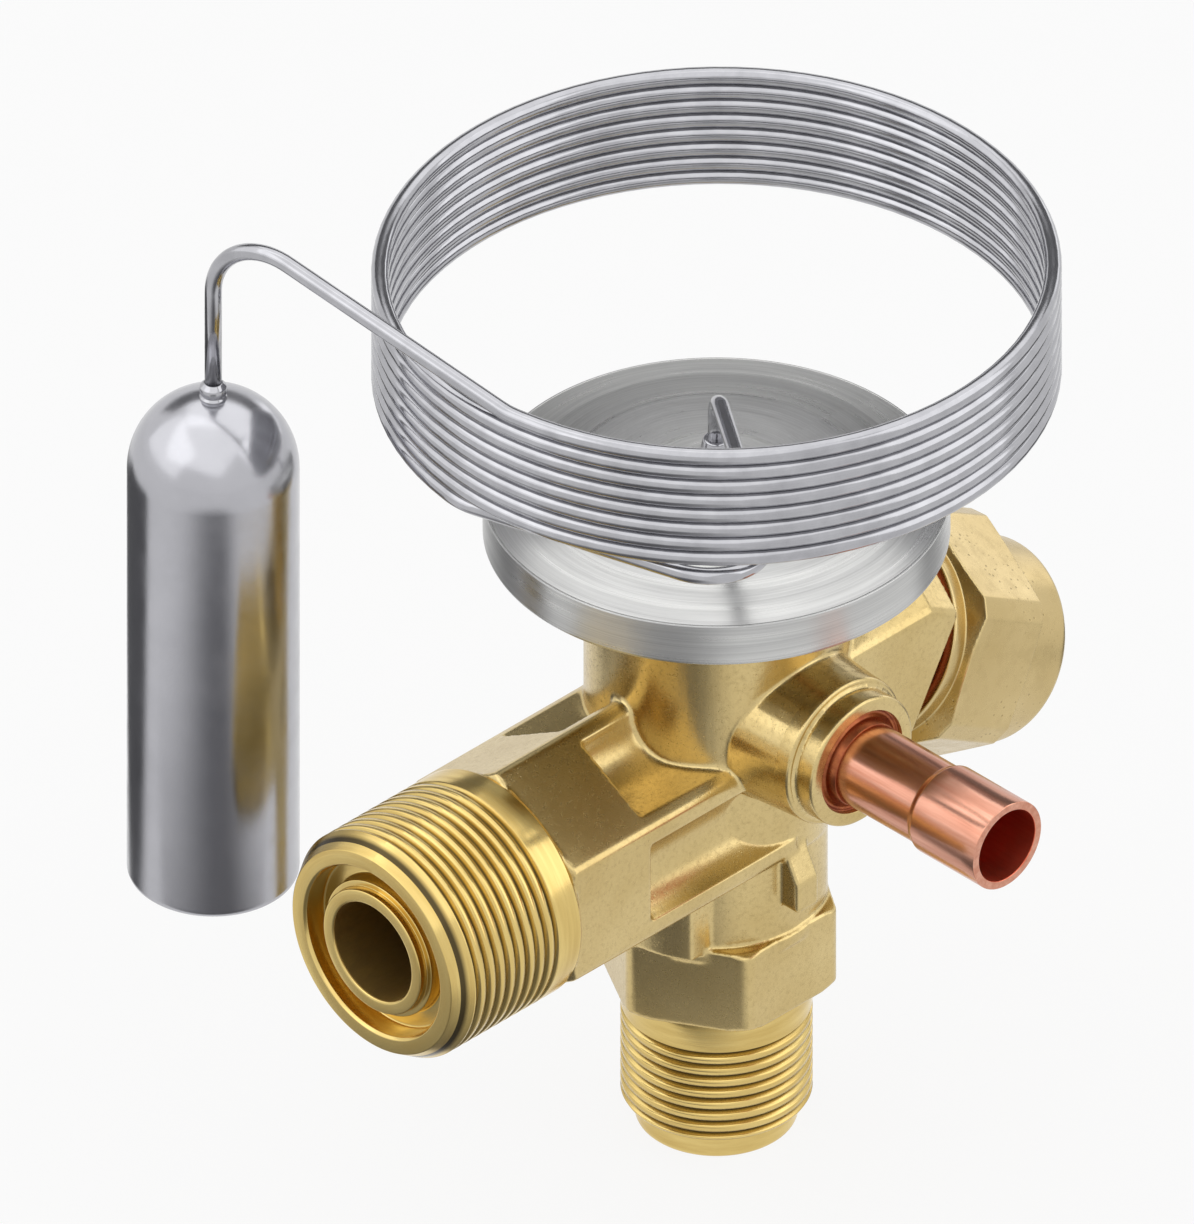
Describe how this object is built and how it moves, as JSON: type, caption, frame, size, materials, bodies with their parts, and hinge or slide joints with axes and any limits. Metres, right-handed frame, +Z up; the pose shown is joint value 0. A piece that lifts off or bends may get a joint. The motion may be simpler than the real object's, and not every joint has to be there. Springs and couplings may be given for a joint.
{
  "type": "thermostatic expansion valve",
  "caption": "Angle-type thermostatic expansion valve: forged brass body, flare ports, hex-capped setting spindle, side equaliser tube, steel element, coiled capillary and sensing bulb.",
  "frame": {"origin": "centre of the inlet mouth, at the bottom of the valve", "axes": "-Z out of the inlet, +X out of the outlet, +Y out of the equaliser tube, +Z up through the element"},
  "size_m": [0.0757, 0.0673, 0.0936],
  "materials": {
    "forged_brass": "satin shot-blasted forging with machined ports",
    "turned_brass": "machined",
    "copper": "polished copper",
    "braze": "brazed fillet",
    "packing": "plain",
    "seal_rubber": "plain",
    "stainless": "machined",
    "hard_steel": "polished",
    "spring_steel": "drawn wire",
    "brushed_stainless": "fine circular brushing",
    "drawn_stainless": "polished drawn tube",
    "satin_stainless": "satin"
  },
  "bodies": {
    "valve": {"valve_body": "forged_brass", "gland_nut": "turned_brass", "spindle_packing": "packing", "packing_washer": "turned_brass", "superheat_spring": "spring_steel", "pin_guide": "turned_brass", "pin_seal": "seal_rubber", "seal_retainer": "stainless", "orifice_seat": "turned_brass", "cone_spring": "spring_steel", "orifice_cage": "turned_brass", "strainer": "stainless", "equaliser_tube": "copper", "equaliser_braze": "braze", "element_base": "brushed_stainless", "element_cover": "brushed_stainless", "diaphragm": "stainless", "capillary_fitting": "stainless", "capillary_tube": "drawn_stainless", "sensing_bulb": "satin_stainless", "bulb_ferrule": "satin_stainless"},
    "gasket": {"cap_gasket": "copper"},
    "cap": {"seal_cap": "turned_brass"},
    "ball": {"thrust_ball": "hard_steel"},
    "spindle": {"setting_spindle": "stainless"},
    "carrier": {"spring_carrier": "turned_brass"},
    "valve_train": {"push_pin": "stainless", "thrust_plate": "turned_brass", "valve_cone": "stainless"}
  },
  "joints": [
    {"name": "cap_lift", "type": "slide", "parent": "valve", "child": "gasket", "axis": [-0.866, 0, -0.5], "range_m": [0, 0.006]},
    {"name": "cap_turn", "type": "hinge", "parent": "gasket", "child": "cap", "pos_m": [0, 0, 0.0502], "axis": [-0.866, 0, -0.5], "range_deg": [0, 1440]},
    {"name": "ball_slide", "type": "slide", "parent": "valve", "child": "ball", "axis": [0.866, 0, 0.5], "range_m": [-0.0005, 0.001]},
    {"name": "spindle_turn", "type": "hinge", "parent": "ball", "child": "spindle", "pos_m": [0, 0, 0.0502], "axis": [0.866, 0, 0.5], "range_deg": [-240, 480]},
    {"name": "carrier_lift", "type": "slide", "parent": "valve", "child": "carrier", "axis": [0, 0, 1], "range_m": [-0.00025, 0.0005], "deforming": ["superheat_spring"]},
    {"name": "valve_stroke", "type": "slide", "parent": "valve", "child": "valve_train", "axis": [0, 0, -1], "range_m": [0, 0.0005], "deforming": ["cone_spring", "superheat_spring"]}
  ],
  "couplings": [
    {"joint": "cap_turn", "follows": "cap_lift", "rad_per_m": 4188.8},
    {"joint": "spindle_turn", "follows": "ball_slide", "rad_per_m": 8377.6},
    {"joint": "carrier_lift", "follows": "ball_slide", "ratio": 0.5}
  ]
}
